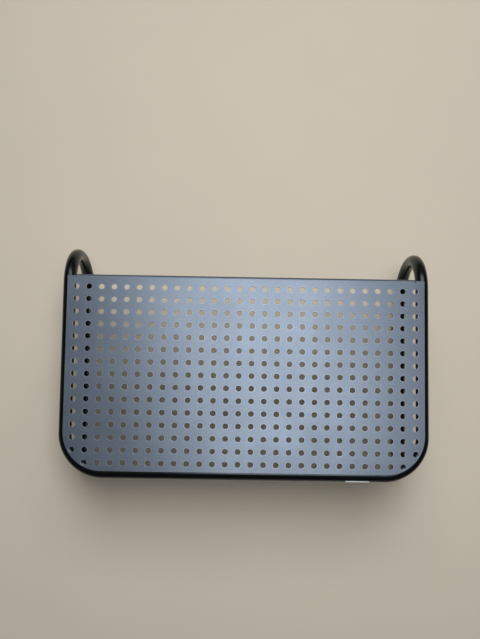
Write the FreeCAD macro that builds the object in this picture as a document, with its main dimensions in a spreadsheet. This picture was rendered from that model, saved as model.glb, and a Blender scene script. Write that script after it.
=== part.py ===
import FreeCAD, Part
import math
import os
import Sketcher

# A low desk-top riser: a perforated steel deck welded on one bent steel tube.
# The tube runs round the deck's left, front and right edges, turns down through a
# C-shaped bend at the back of each side, and comes forward again as a base leg.
#
# Frame: +X to the right, +Y to the back, +Z up. The origin is on the surface that
# the riser stands on, under the middle of its overall width and depth.

SIZES = [
    ("tube_diameter", 12.7, "outside diameter of the frame tube"),
    ("tube_wall", 1.2, "wall of the frame tube"),
    ("rail_spacing", 360.7, "left to right side rail, centre to centre"),
    ("overall_depth", 247.0, "front of the nameplate to the back of the bends"),
    ("corner_radius", 39.0, "centre-line radius of the two front corners"),
    ("bend_radius", 42.0, "centre-line radius of the two C bends at the back"),
    ("leg_setback", 13.5, "front of the nameplate to the open end of a base leg"),
    ("sheet_thickness", 1.2, "deck sheet"),
    ("deck_width", 361.8, "deck sheet, left to right"),
    ("hole_pitch", 12.7, "square pitch of the perforations"),
    ("hole_diameter", 5.5, "perforation"),
    ("hole_columns", 28, "perforations from left to right"),
    ("hole_rows", 15, "perforations from back to front"),
    ("front_margin", 8.4, "front row of holes to the deck's front edge"),
    ("back_margin", 13.0, "back row of holes to the deck's back face"),
    ("front_inset", 0.65, "front edge of the deck behind the front rail's centre line"),
    ("flange_height", 10.0, "turned-down flange along the deck's back edge"),
    ("fold_radius", 2.0, "inside radius of the flange's fold"),
    ("flange_width", 343.2, "length of the flange between the two rails"),
    ("ear_setback", 1.8, "flange's back face to the back edge of the flat ears beside it"),
    ("relief_width", 0.6, "slot at each end of the flange"),
    ("relief_depth", 0.5, "how far each slot runs past the fold"),
    ("foot_height", 2.0, "foot under the tube"),
    ("foot_width", 13.7, "foot across the leg"),
    ("foot_length", 28.0, "foot along the leg"),
    ("foot_side", 6.4, "top of the foot's sides above the table"),
    ("foot_inset", 26.0, "open end of a leg to the middle of its front foot"),
    ("foot_rear", 20.0, "start of a C bend to the middle of the rear foot"),
    ("foot_edge", 0.8, "rounding of the foot's lower edge"),
    ("stud_diameter", 3.8, "stud that holds a foot in the tube"),
    ("stud_hole", 4.0, "hole for the stud in the tube's underside"),
    ("stud_head", 5.0, "barbed head of the stud, inside the tube"),
    ("stud_rim", 0.4, "straight rim of the stud's head"),
    ("stud_tip", 2.4, "height of the stud's head"),
    ("stud_play", 0.18, "stud's head above the tube's wall"),
    ("cap_head", 3.0, "head of an end cap, along the leg"),
    ("cap_dome", 1.2, "rounded rim of an end cap"),
    ("cap_spigot", 12.0, "part of an end cap inside the tube"),
    ("cap_core", 8.2, "core of the spigot between its ribs"),
    ("cap_rib", 1.0, "thickness of each rib on the spigot"),
    ("cap_clearance", 0.05, "rib to the tube's bore, all round"),
    ("weld_size", 1.9, "radius of a weld bead"),
    ("weld_length", 14.0, "length of a weld bead"),
    ("weld_offset", 4.4, "middle of a bead inboard of the rail's centre line"),
    ("weld_drop", 1.1, "middle of a bead below the deck sheet"),
    ("side_weld_pitch", 56.0, "from bead to bead along a side rail"),
    ("front_weld_pitch", 78.0, "from bead to bead along the front rail"),
    ("plate_length", 25.5, "nameplate, left to right"),
    ("plate_thickness", 0.9, "nameplate"),
    ("plate_angle", 34.0, "half of the arc that the nameplate covers"),
    ("plate_place", 114.0, "middle of the nameplate, right of the riser's middle"),
    ("tape_thickness", 0.2, "adhesive tape behind the nameplate"),
]

FRONT_FOOT = "front"
REAR_FOOT = "rear"
SIDES = (("left", -1), ("right", 1))

doc = FreeCAD.newDocument("desk_riser")
sheet = doc.addObject("Spreadsheet::Sheet", "Sizes")
for row, (alias, number, note) in enumerate(SIZES, start=1):
    sheet.set("A%d" % row, alias)
    sheet.set("B%d" % row, str(number))
    sheet.setAlias("B%d" % row, alias)
    sheet.set("C%d" % row, note)
doc.recompute()

# Places that several pieces share, written once as expressions on the sheet.
ZERO = "0"
TUBE_R = "(Sizes.tube_diameter / 2)"
RAIL_X = "(Sizes.rail_spacing / 2)"
LEG_Z = "(Sizes.foot_height + Sizes.tube_diameter / 2)"
RAIL_Z = "(%s + 2 * Sizes.bend_radius)" % LEG_Z
PLATE_OUTER = "(Sizes.tube_diameter / 2 + Sizes.tape_thickness + Sizes.plate_thickness)"
FRONT_Y = "(%s - Sizes.overall_depth / 2)" % PLATE_OUTER
BEND_Y = "(Sizes.overall_depth / 2 - Sizes.tube_diameter / 2 - Sizes.bend_radius)"
LEG_END_Y = "(Sizes.leg_setback - Sizes.overall_depth / 2)"
DECK_Z = "(%s + %s)" % (RAIL_Z, TUBE_R)
DECK_FRONT_Y = "(%s + Sizes.front_inset)" % FRONT_Y
FRONT_ROW_Y = "(%s + Sizes.front_margin)" % DECK_FRONT_Y
BACK_ROW_Y = "(%s + (Sizes.hole_rows - 1) * Sizes.hole_pitch)" % FRONT_ROW_Y
DECK_BACK_Y = "(%s + Sizes.back_margin)" % BACK_ROW_Y
OUTER_COLUMN_X = "((Sizes.hole_columns - 1) * Sizes.hole_pitch / 2)"
FOLD_OUTER = "(Sizes.fold_radius + Sizes.sheet_thickness)"


def value(expression):
    """The number that an expression on the sheet gives now, in millimetres."""
    return float(sheet.evalExpression(expression))


def bind(obj, **expressions):
    """Ties properties of an object to expressions on the sheet."""
    for prop, expression in expressions.items():
        obj.setExpression(prop, expression)


def place(obj, x, y, z, axis=None, angle=0):
    """Binds an object's position, with a fixed turn about one axis."""
    if axis is not None:
        turn = FreeCAD.Rotation(axis, angle)
        obj.Placement = FreeCAD.Placement(FreeCAD.Vector(), turn)
    for letter, expression in (("x", x), ("y", y), ("z", z)):
        obj.setExpression("Placement.Base." + letter, expression)


AXIS_X = FreeCAD.Vector(1, 0, 0)
AXIS_Y = FreeCAD.Vector(0, 1, 0)
AXIS_Z = FreeCAD.Vector(0, 0, 1)


# ---------------------------------------------------------------- sketch helpers

def new_body(label):
    """A PartDesign body whose Label names the piece."""
    body = doc.addObject("PartDesign::Body", label)
    body.Label = label
    return body


def origin_plane(body, role):
    """One of the body's own origin planes, found by its role."""
    for feature in body.Origin.OriginFeatures:
        if feature.Role == role:
            return feature
    raise ValueError(role)


def new_sketch(body, name, role):
    """An empty sketch on one of the body's origin planes."""
    sketch = body.newObject("Sketcher::SketchObject", name)
    sketch.AttachmentSupport = [(origin_plane(body, role), "")]
    sketch.MapMode = "FlatFace"
    return sketch


def pin_coordinate(sketch, geometry, end, kind, expression):
    """Fixes one coordinate of a sketch point, measured from the sketch's origin."""
    number = value(expression)
    index = sketch.addConstraint(Sketcher.Constraint(kind, -1, 1, geometry, end, number))
    sketch.setExpression("Constraints[%d]" % index, expression)


def pin_point(sketch, geometry, end, x, y):
    """Fixes a sketch point at two expressions."""
    pin_coordinate(sketch, geometry, end, "DistanceX", x)
    pin_coordinate(sketch, geometry, end, "DistanceY", y)


def closed_profile(sketch, corners):
    """Draws a closed outline through corners given as pairs of expressions.

    A corner may carry a third item, the centre of the arc that leads to the next
    corner, and a fourth, True where that arc runs clockwise. An arc's centre lies on
    the line that halves its chord at right angles, so one coordinate fixes it.
    """
    count = len(corners)
    points = [FreeCAD.Vector(value(c[0]), value(c[1]), 0) for c in corners]
    first_end = []
    for number, corner in enumerate(corners):
        start = points[number]
        finish = points[(number + 1) % count]
        if len(corner) == 2:
            sketch.addGeometry(Part.LineSegment(start, finish))
            first_end.append(1)
            continue
        middle = FreeCAD.Vector(value(corner[2][0]), value(corner[2][1]), 0)
        clockwise = corner[3]
        circle = Part.Circle(middle, AXIS_Z, (start - middle).Length)
        ends = (finish, start) if clockwise else (start, finish)
        angles = [circle.parameter(point) for point in ends]
        sketch.addGeometry(Part.ArcOfCircle(circle, angles[0], angles[1]))
        first_end.append(2 if clockwise else 1)
    for number, corner in enumerate(corners):
        after = (number + 1) % count
        last_end = 3 - first_end[number]
        sketch.addConstraint(Sketcher.Constraint(
            "Coincident", number, last_end, after, first_end[after]))
        pin_point(sketch, number, first_end[number], corner[0], corner[1])
        if len(corner) > 2:
            chord = points[after] - points[number]
            across = abs(chord.x) >= abs(chord.y)
            kind, expression = ("DistanceY", corner[2][1]) if across else ("DistanceX", corner[2][0])
            pin_coordinate(sketch, number, 3, kind, expression)


def circle_in(sketch, x, y, diameter):
    """One circle whose centre and diameter are bound to the sheet."""
    centre = FreeCAD.Vector(value(x), value(y), 0)
    number = sketch.addGeometry(Part.Circle(centre, AXIS_Z, value(diameter) / 2))
    pin_point(sketch, number, 3, x, y)
    index = sketch.addConstraint(Sketcher.Constraint("Diameter", number, value(diameter)))
    sketch.setExpression("Constraints[%d]" % index, diameter)


def pad(body, name, sketch, length, both_ways=False):
    """Pads a sketch by a bound length, upwards or equally to both sides."""
    feature = body.newObject("PartDesign::Pad", name)
    feature.Profile = sketch
    feature.Midplane = both_ways
    bind(feature, Length=length)
    return feature


# ---------------------------------------------------------------- the frame tube

def straight(name, diameter, length, x, y, z, axis, angle):
    """A straight run of the tube, or of its bore, from one end point."""
    run = doc.addObject("Part::Cylinder", name)
    bind(run, Radius="%s / 2" % diameter, Height=length)
    place(run, x, y, z, axis, angle)
    return run


def turned(name, diameter, radius, degrees, x, y, z, axis, angle):
    """A bend of the tube, or of its bore, about its own centre."""
    bend = doc.addObject("Part::Torus", name)
    bend.Angle3 = degrees
    bind(bend, Radius1=radius, Radius2="%s / 2" % diameter)
    place(bend, x, y, z, axis, angle)
    return bend


def tube_route(name, diameter):
    """The whole bent route as one solid: legs, C bends, rails and front corners."""
    runs = []
    for side, sign in SIDES:
        tag = "%s_%s_" % (name, side)
        rail_x = "%d * %s" % (sign, RAIL_X)
        corner_x = "%d * (%s - Sizes.corner_radius)" % (sign, RAIL_X)
        corner_y = "%s + Sizes.corner_radius" % FRONT_Y
        leg_length = "%s - %s" % (BEND_Y, LEG_END_Y)
        rail_length = "%s - (%s)" % (BEND_Y, corner_y)
        middle_z = "%s + Sizes.bend_radius" % LEG_Z
        runs.append(straight(tag + "leg", diameter, leg_length,
                             rail_x, LEG_END_Y, LEG_Z, AXIS_X, -90))
        runs.append(turned(tag + "c_bend", diameter, "Sizes.bend_radius", 180,
                           rail_x, BEND_Y, middle_z, AXIS_Y, 90))
        runs.append(straight(tag + "rail", diameter, rail_length,
                             rail_x, corner_y, RAIL_Z, AXIS_X, -90))
        corner_turn = 180 if sign < 0 else -90
        runs.append(turned(tag + "corner", diameter, "Sizes.corner_radius", 90,
                           corner_x, corner_y, RAIL_Z, AXIS_Z, corner_turn))
    front_length = "Sizes.rail_spacing - 2 * Sizes.corner_radius"
    front_start = "Sizes.corner_radius - %s" % RAIL_X
    runs.append(straight(name + "_front", diameter, front_length,
                         front_start, FRONT_Y, RAIL_Z, AXIS_Y, 90))
    route = doc.addObject("Part::MultiFuse", name + "_route")
    route.Shapes = runs
    return route


def foot_places():
    """Name, X and Y of each of the four feet."""
    front_y = "(%s + Sizes.foot_inset)" % LEG_END_Y
    rear_y = "(%s - Sizes.foot_rear)" % BEND_Y
    for end, y in ((FRONT_FOOT, front_y), (REAR_FOOT, rear_y)):
        for side, sign in SIDES:
            yield "foot_%s_%s" % (end, side), "(%d * %s)" % (sign, RAIL_X), y


def make_frame_tube():
    """One bent tube, open at the ends of its legs, drilled for the four feet."""
    outside = tube_route("tube", "Sizes.tube_diameter")
    bore = tube_route("bore", "(Sizes.tube_diameter - 2 * Sizes.tube_wall)")
    tools = [bore]
    for name, x, y in foot_places():
        drilling = doc.addObject("Part::Cylinder", name + "_drilling")
        bind(drilling, Radius="Sizes.stud_hole / 2", Height="Sizes.tube_diameter / 2")
        place(drilling, x, y, "Sizes.foot_height - 1")
        tools.append(drilling)
    removed = doc.addObject("Part::MultiFuse", "tube_removed")
    removed.Shapes = tools
    tube = doc.addObject("Part::Cut", "frame_tube")
    tube.Base = outside
    tube.Tool = removed
    return tube


# ---------------------------------------------------------------- the deck sheet

def make_deck_sheet():
    """A flat sheet with round front corners, a turned-down back flange and holes."""
    body = new_body("deck_sheet")
    half = "(Sizes.deck_width / 2)"
    flange = "(Sizes.flange_width / 2)"
    ear = "(%s + Sizes.relief_width)" % flange
    ear_back_y = "(%s - Sizes.ear_setback)" % DECK_BACK_Y
    fold_y = "(%s - %s)" % (DECK_BACK_Y, FOLD_OUTER)
    slot_y = "(%s - Sizes.relief_depth)" % fold_y
    arc_x = "(%s - Sizes.corner_radius)" % half
    arc_y = "(%s + Sizes.corner_radius)" % DECK_FRONT_Y
    outline = new_sketch(body, "deck_outline", "XY_Plane")
    closed_profile(outline, [
        ("-" + half, arc_y, ("-" + arc_x, arc_y), False),
        ("-" + arc_x, DECK_FRONT_Y),
        (arc_x, DECK_FRONT_Y, (arc_x, arc_y), False),
        (half, arc_y),
        (half, ear_back_y),
        (ear, ear_back_y),
        (ear, slot_y),
        (flange, slot_y),
        (flange, fold_y),
        ("-" + flange, fold_y),
        ("-" + flange, slot_y),
        ("-" + ear, slot_y),
        ("-" + ear, ear_back_y),
        ("-" + half, ear_back_y),
    ])
    pad(body, "deck_flat", outline, "Sizes.sheet_thickness")

    section = new_sketch(body, "flange_section", "YZ_Plane")
    top = "Sizes.sheet_thickness"
    centre = (fold_y, "(-Sizes.fold_radius)")
    inner_y = "(%s - Sizes.sheet_thickness)" % DECK_BACK_Y
    lower = "(Sizes.sheet_thickness - Sizes.flange_height)"
    closed_profile(section, [
        (fold_y, top, centre, True),
        (DECK_BACK_Y, centre[1]),
        (DECK_BACK_Y, lower),
        (inner_y, lower),
        (inner_y, centre[1], centre, False),
        (fold_y, ZERO),
    ])
    pad(body, "deck_flange", section, "Sizes.flange_width", both_ways=True)
    doc.recompute()

    solid_volume = body.Shape.Volume
    first_x = "-" + OUTER_COLUMN_X
    perforations(body, "field", first_x, BACK_ROW_Y, "Sizes.hole_columns",
                 "(Sizes.hole_rows - 1)")
    second_x = "(Sizes.hole_pitch - %s)" % OUTER_COLUMN_X
    perforations(body, "front_row", second_x, FRONT_ROW_Y, "(Sizes.hole_columns - 2)", None)
    holes = value("Sizes.hole_columns") * value("Sizes.hole_rows") - 2
    removed = solid_volume - body.Shape.Volume
    hole_area = math.pi * value("Sizes.hole_diameter") ** 2 / 4
    expected = holes * hole_area * value("Sizes.sheet_thickness")
    print("deck holes: removed %.1f mm3, expected %.1f mm3" % (removed, expected))
    if abs(removed - expected) > 0.001 * expected:
        raise RuntimeError("the perforations aren't all there")
    place(body, ZERO, ZERO, DECK_Z)
    return body


def perforations(body, name, x, y, columns, rows):
    """One hole, repeated to the right and, where rows is given, to the front."""
    sketch = new_sketch(body, name + "_hole", "XY_Plane")
    circle_in(sketch, x, y, "Sizes.hole_diameter")
    hole = body.newObject("PartDesign::Pocket", name + "_pocket")
    hole.Profile = sketch
    hole.Type = "ThroughAll"
    hole.Reversed = True
    doc.recompute()
    across = body.newObject("PartDesign::LinearPattern", name + "_across")
    across.Direction = (sketch, ["H_Axis"])
    bind(across, Length="(%s - 1) * Sizes.hole_pitch" % columns, Occurrences=columns)
    if rows is None:
        across.Originals = [hole]
        body.Tip = across
        doc.recompute()
        return
    along = body.newObject("PartDesign::LinearPattern", name + "_along")
    along.Direction = (sketch, ["V_Axis"])
    along.Reversed = True
    bind(along, Length="(%s - 1) * Sizes.hole_pitch" % rows, Occurrences=rows)
    grid = body.newObject("PartDesign::MultiTransform", name + "_grid")
    grid.Originals = [hole]
    grid.Transformations = [across, along]
    body.Tip = grid
    doc.recompute()


# ---------------------------------------------------------------- feet and end caps

def make_foot(label, x, y):
    """A rubber saddle under a leg, held by a barbed stud through the tube's wall."""
    body = new_body(label)
    footprint = new_sketch(body, label + "_footprint", "XY_Plane")
    half = "(Sizes.foot_width / 2)"
    reach = "(Sizes.foot_length / 2 - Sizes.foot_width / 2)"
    closed_profile(footprint, [
        (half, "-" + reach),
        (half, reach, (ZERO, reach), False),
        ("-" + half, reach),
        ("-" + half, "-" + reach, (ZERO, "-" + reach), False),
    ])
    pad(body, label + "_block", footprint, "Sizes.foot_side")
    doc.recompute()

    saddle = new_sketch(body, label + "_saddle", "XZ_Plane")
    circle_in(saddle, ZERO, LEG_Z, "Sizes.tube_diameter")
    groove = body.newObject("PartDesign::Pocket", label + "_groove")
    groove.Profile = saddle
    groove.Type = "ThroughAll"
    groove.Midplane = True
    doc.recompute()

    stud = new_sketch(body, label + "_stud_section", "XZ_Plane")
    shank = "(Sizes.stud_diameter / 2)"
    barb = "(Sizes.stud_head / 2)"
    inside = "(Sizes.foot_height + Sizes.tube_wall + Sizes.stud_play)"
    tip = "(%s + Sizes.stud_tip)" % inside
    closed_profile(stud, [
        (ZERO, "Sizes.foot_height / 2"),
        (shank, "Sizes.foot_height / 2"),
        (shank, inside),
        (barb, inside),
        (barb, "(%s + Sizes.stud_rim)" % inside),
        ("(%s / 2)" % shank, tip),
        (ZERO, tip),
    ])
    turned_stud = body.newObject("PartDesign::Revolution", label + "_stud")
    turned_stud.Profile = stud
    turned_stud.ReferenceAxis = (stud, ["V_Axis"])
    turned_stud.Angle = 360
    doc.recompute()

    rounding = body.newObject("PartDesign::Fillet", label + "_rounding")
    floor_edges = []
    for number, edge in enumerate(turned_stud.Shape.Edges, start=1):
        if edge.BoundBox.ZMax < 0.001:
            floor_edges.append("Edge%d" % number)
    rounding.Base = (turned_stud, floor_edges)
    bind(rounding, Radius="Sizes.foot_edge")
    body.Tip = rounding
    place(body, x, y, ZERO)
    return body


def make_end_cap(label, sign):
    """A moulded plug: a round-rimmed head and a ribbed spigot in the leg's bore."""
    body = new_body(label)
    section = new_sketch(body, label + "_section", "XY_Plane")
    rim = TUBE_R
    core = "(Sizes.cap_core / 2)"
    rib = "(%s - Sizes.tube_wall - Sizes.cap_clearance)" % TUBE_R
    flat = "(%s - Sizes.cap_dome)" % rim
    tip_y = "Sizes.cap_spigot"
    corners = [
        (ZERO, "-Sizes.cap_head"),
        (flat, "-Sizes.cap_head", (flat, "(Sizes.cap_dome - Sizes.cap_head)"), False),
        (rim, "(Sizes.cap_dome - Sizes.cap_head)"),
        (rim, ZERO),
        (core, ZERO),
    ]
    for number in (1, 2, 3):
        rib_y = "(%d * Sizes.cap_spigot / 4)" % number
        after_y = "(%s + Sizes.cap_rib)" % rib_y
        corners += [(core, rib_y), (rib, rib_y), (rib, after_y), (core, after_y)]
    corners += [(core, "(%s - Sizes.cap_dome)" % tip_y), ("(%s - Sizes.cap_dome)" % core, tip_y),
                (ZERO, tip_y)]
    closed_profile(section, corners)
    plug = body.newObject("PartDesign::Revolution", label + "_plug")
    plug.Profile = section
    plug.ReferenceAxis = (section, ["V_Axis"])
    plug.Angle = 360
    body.Tip = plug
    place(body, "%d * %s" % (sign, RAIL_X), LEG_END_Y, LEG_Z)
    return body


# ---------------------------------------------------------------- welds

def weld_bead(name, run_x, run_y, along_x, bead_x, bead_y):
    """A fillet weld in the wedge between the sheet's underside and a rail.

    The bead is a short round bar cut away where the rail and the sheet are.
    """
    axis, angle = (AXIS_Y, 90) if along_x else (AXIS_X, -90)
    bar = straight(name + "_bar", "(2 * Sizes.weld_size)", "Sizes.weld_length",
                   bead_x, bead_y, "%s - Sizes.weld_drop" % DECK_Z, axis, angle)
    rail = straight(name + "_rail", "Sizes.tube_diameter", "3 * Sizes.weld_length",
                    run_x, run_y, RAIL_Z, axis, angle)
    above = doc.addObject("Part::Box", name + "_above")
    bind(above, Length="3 * Sizes.weld_length", Width="3 * Sizes.weld_length",
         Height="2 * Sizes.weld_size")
    place(above, "%s - Sizes.weld_length" % bead_x, "%s - Sizes.weld_length" % bead_y, DECK_Z)
    tools = doc.addObject("Part::MultiFuse", name + "_tools")
    tools.Shapes = [rail, above]
    bead = doc.addObject("Part::Cut", name)
    bead.Base = bar
    bead.Tool = tools
    return bead


def make_side_welds(side, sign):
    """Three beads under one side of the deck, as one group of separate solids."""
    beads = []
    run_x = "%d * %s" % (sign, RAIL_X)
    bead_x = "%d * (%s - Sizes.weld_offset)" % (sign, RAIL_X)
    middle_y = "((%s + %s) / 2)" % (DECK_FRONT_Y, DECK_BACK_Y)
    for step in (-1, 0, 1):
        bead_y = "(%s + %d * Sizes.side_weld_pitch - Sizes.weld_length / 2)" % (middle_y, step)
        run_y = "(%s - Sizes.weld_length)" % bead_y
        name = "weld_%s_%d" % (side, step + 2)
        beads.append(weld_bead(name, run_x, run_y, False, bead_x, bead_y))
    group = doc.addObject("Part::Compound", "weld_beads_" + side)
    group.Links = beads
    return group


def make_front_welds():
    """Four beads under the deck's front edge, as one group of separate solids."""
    beads = []
    bead_y = "(%s + Sizes.weld_offset)" % FRONT_Y
    for step in (-3, -1, 1, 3):
        bead_x = "(%d * Sizes.front_weld_pitch / 2 - Sizes.weld_length / 2)" % step
        run_x = "(%s - Sizes.weld_length)" % bead_x
        name = "weld_front_%d" % (step + 4)
        beads.append(weld_bead(name, run_x, FRONT_Y, True, bead_x, bead_y))
    group = doc.addObject("Part::Compound", "weld_beads_front")
    group.Links = beads
    return group


# ---------------------------------------------------------------- nameplate

def make_curved_plate(label, inner, thickness):
    """A plate bent to the front rail: an arc of a ring, padded to both sides."""
    body = new_body(label)
    outer = "(%s + %s)" % (inner, thickness)
    section = new_sketch(body, label + "_section", "YZ_Plane")
    centre = (ZERO, ZERO)
    inner_y = "(-%s * cos(Sizes.plate_angle))" % inner
    inner_z = "(%s * sin(Sizes.plate_angle))" % inner
    outer_y = "(-%s * cos(Sizes.plate_angle))" % outer
    outer_z = "(%s * sin(Sizes.plate_angle))" % outer
    closed_profile(section, [
        (outer_y, outer_z, centre, False),
        (outer_y, "-" + outer_z),
        (inner_y, "-" + inner_z, centre, True),
        (inner_y, inner_z),
    ])
    pad(body, label + "_pad", section, "Sizes.plate_length", both_ways=True)
    place(body, "Sizes.plate_place", FRONT_Y, RAIL_Z)
    return body


# ---------------------------------------------------------------- the whole riser

nodes = [make_frame_tube(), make_deck_sheet()]
for foot_name, foot_x, foot_y in foot_places():
    nodes.append(make_foot(foot_name, foot_x, foot_y))
for side_name, side_sign in SIDES:
    nodes.append(make_end_cap("end_cap_" + side_name, side_sign))
    nodes.append(make_side_welds(side_name, side_sign))
nodes.append(make_front_welds())
nodes.append(make_curved_plate("nameplate_tape", TUBE_R, "Sizes.tape_thickness"))
nodes.append(make_curved_plate("nameplate", "(%s + Sizes.tape_thickness)" % TUBE_R,
                               "Sizes.plate_thickness"))
doc.recompute()

failed = [obj.Name for obj in doc.Objects if "Invalid" in obj.State or "Error" in obj.State]
if failed:
    raise RuntimeError("failed objects: " + ", ".join(failed))
for node in nodes:
    if node.Shape.isNull() or not node.Shape.isValid():
        raise RuntimeError("bad shape: " + node.Label)

os.makedirs("parts", exist_ok=True)
for node in nodes:
    node.Shape.exportStep("parts/%s.step" % node.Label)
    box = node.Shape.BoundBox
    print("%-18s %d solid(s) %9.1f mm3  X %.1f..%.1f  Y %.1f..%.1f  Z %.1f..%.1f" % (
        node.Label, len(node.Shape.Solids), node.Shape.Volume,
        box.XMin, box.XMax, box.YMin, box.YMax, box.ZMin, box.ZMax))
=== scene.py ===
# %% [markdown]
# # A perforated desk riser
# A perforated steel deck is welded on one bent tube. The tube runs round the left, front
# and right edges of the deck, turns down through a C-shaped bend at the back of each
# side, and comes forward again underneath as a base leg. Two plugs close the legs, four
# rubber feet stand under them, and a small blank nameplate sits on the front rail.
#
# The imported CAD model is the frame: it says where every piece is and how big it is. Each
# piece is then made again as a smooth surface that numpy works out on a grid, because a
# powder-coated part is judged by its reflections, and those show every flat facet.

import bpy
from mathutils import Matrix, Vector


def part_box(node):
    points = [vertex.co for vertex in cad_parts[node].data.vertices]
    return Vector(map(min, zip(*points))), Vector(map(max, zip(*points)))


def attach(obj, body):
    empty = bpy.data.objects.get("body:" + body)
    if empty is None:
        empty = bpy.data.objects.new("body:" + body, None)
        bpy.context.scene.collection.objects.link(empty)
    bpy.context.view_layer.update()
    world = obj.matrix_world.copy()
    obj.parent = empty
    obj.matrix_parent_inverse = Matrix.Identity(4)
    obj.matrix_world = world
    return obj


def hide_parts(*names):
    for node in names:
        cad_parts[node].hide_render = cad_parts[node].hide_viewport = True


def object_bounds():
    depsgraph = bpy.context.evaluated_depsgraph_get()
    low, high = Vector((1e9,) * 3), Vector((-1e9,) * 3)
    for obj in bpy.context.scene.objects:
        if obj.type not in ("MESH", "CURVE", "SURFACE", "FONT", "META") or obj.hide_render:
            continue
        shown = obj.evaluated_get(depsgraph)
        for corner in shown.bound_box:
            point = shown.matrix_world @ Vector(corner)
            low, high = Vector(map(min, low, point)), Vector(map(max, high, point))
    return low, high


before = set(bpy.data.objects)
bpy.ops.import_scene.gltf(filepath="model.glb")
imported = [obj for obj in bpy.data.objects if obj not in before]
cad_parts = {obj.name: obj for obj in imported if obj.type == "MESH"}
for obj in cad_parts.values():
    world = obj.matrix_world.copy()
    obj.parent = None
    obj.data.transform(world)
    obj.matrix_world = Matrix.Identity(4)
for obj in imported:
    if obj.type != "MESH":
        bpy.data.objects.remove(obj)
cad_box = [list(corner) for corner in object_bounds()]

import math

import bmesh
import bpy
import numpy as np
from mathutils import Vector

MM = 0.001
ROOT = "root"
print("CAD nodes:", len(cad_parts))
print("CAD box in mm:", (np.array(cad_box) / MM).round(1).tolist())

# %% [markdown]
# ## The riser's sizes
# A CAD node's box gives its lowest and highest corner. The right end cap is as thick as
# the tube, so its box gives the tube's radius and the leg's place. The deck's box gives
# the height of the rails, the nameplate's gives the front rail, and the whole riser's
# gives the back of the C bends. Sizes that no box can tell, such as a wall, a radius or
# the pitch of the holes, are named numbers.

# %% Sizes that the boxes tell
cap_low, cap_high = (np.array(corner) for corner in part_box("end_cap_right"))
deck_low, deck_high = (np.array(corner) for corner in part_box("deck_sheet"))
plate_low, plate_high = (np.array(corner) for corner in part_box("nameplate"))

SHEET = 1.2 * MM
TUBE_WALL = 1.2 * MM
TAPE = 0.2 * MM
PLATE = 0.9 * MM
CAP_HEAD = 3.0 * MM

TUBE_R = (cap_high[0] - cap_low[0]) / 2
RAIL_X = (cap_high[0] + cap_low[0]) / 2
LEG_Z = (cap_high[2] + cap_low[2]) / 2
LEG_END_Y = cap_low[1] + CAP_HEAD
DECK_TOP = deck_high[2]
DECK_UNDER = DECK_TOP - SHEET
RAIL_Z = DECK_UNDER - TUBE_R
FRONT_Y = plate_low[1] + TUBE_R + TAPE + PLATE
BACK_Y = cad_box[1][1]
print("tube radius %.2f mm, leg at z %.2f mm, rails at z %.2f mm" % (
    TUBE_R / MM, LEG_Z / MM, RAIL_Z / MM))

# %% Radii of the bends
CORNER_R = 39 * MM
BEND_R = (RAIL_Z - LEG_Z) / 2
BEND_Y = BACK_Y - TUBE_R - BEND_R
CORNER_X = RAIL_X - CORNER_R
CORNER_Y = FRONT_Y + CORNER_R
print("C bends of %.1f mm start at y %.1f mm" % (BEND_R / MM, BEND_Y / MM))

# %% [markdown]
# ## From a grid of points to a piece
# Every surface here is a grid: rows of points, each row with as many points as the next.
# Four neighbours make a face. A grid can be closed on itself in one direction, as a tube
# is, or in both. The corners of a face are listed so that it looks outwards when the
# columns run to the right and the rows run away, seen from outside. Points that fall
# together, at a pole or along a seam, are welded, so no piece has a gap.


# %% Grid to faces
def grid_faces(rows, columns, closed_rows, closed_columns):
    """Point numbers of the faces of one grid whose points are stored row by row.

    Face (i, j) joins point (i, j) to (i, j + 1), (i + 1, j + 1) and (i + 1, j). In a
    closed direction the number after the last one is the first again.
    """
    i = np.arange(rows if closed_rows else rows - 1)
    j = np.arange(columns if closed_columns else columns - 1)
    i, j = np.meshgrid(i, j, indexing="ij")
    below = (i + 1) % rows
    right = (j + 1) % columns
    corners = [i * columns + j, i * columns + right, below * columns + right, below * columns + j]
    return np.stack(corners, axis=-1).reshape(-1, 4)


# %% Grids to a welded piece
WELD = 0.002 * MM


def make_piece(name, grids, closed_rows=False, closed_columns=False):
    """One mesh object from several grids of points, welded where points fall together.

    A grid is an array of (rows, columns, 3), or (copies, rows, columns, 3) for a shape
    that is repeated. The whole piece is in the riser's own place and size.
    """
    points = []
    faces = []
    first = 0
    for grid in grids:
        copies = grid.reshape(-1, *grid.shape[-3:])
        count, rows, columns, _ = copies.shape
        one = grid_faces(rows, columns, closed_rows, closed_columns)
        starts = first + np.arange(count) * rows * columns
        faces.append((one[None] + starts[:, None, None]).reshape(-1, 4))
        points.append(copies.reshape(-1, 3))
        first += count * rows * columns
    mesh = bpy.data.meshes.new(name)
    mesh.from_pydata(np.concatenate(points).tolist(), [], np.concatenate(faces).tolist())
    work = bmesh.new()
    work.from_mesh(mesh)
    bmesh.ops.remove_doubles(work, verts=work.verts, dist=WELD)
    bmesh.ops.dissolve_degenerate(work, dist=WELD / 2, edges=work.edges)
    work.to_mesh(mesh)
    work.free()
    mesh.shade_smooth()
    piece = bpy.data.objects.new(name, mesh)
    bpy.context.scene.collection.objects.link(piece)
    return piece


# %% Put a piece in its place in the frame
def finish_piece(piece, material, slot, *nodes):
    """Gives a piece its coat, lets it ride on the riser, and stands it in for CAD nodes."""
    piece.data.materials.append(material)
    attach(piece, ROOT)
    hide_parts(*nodes)
    box = np.array(piece.bound_box) / MM
    print("%-20s %6d faces, %s to %s mm" % (
        piece.name, len(piece.data.polygons), box.min(0).round(1), box.max(0).round(1)))


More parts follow.
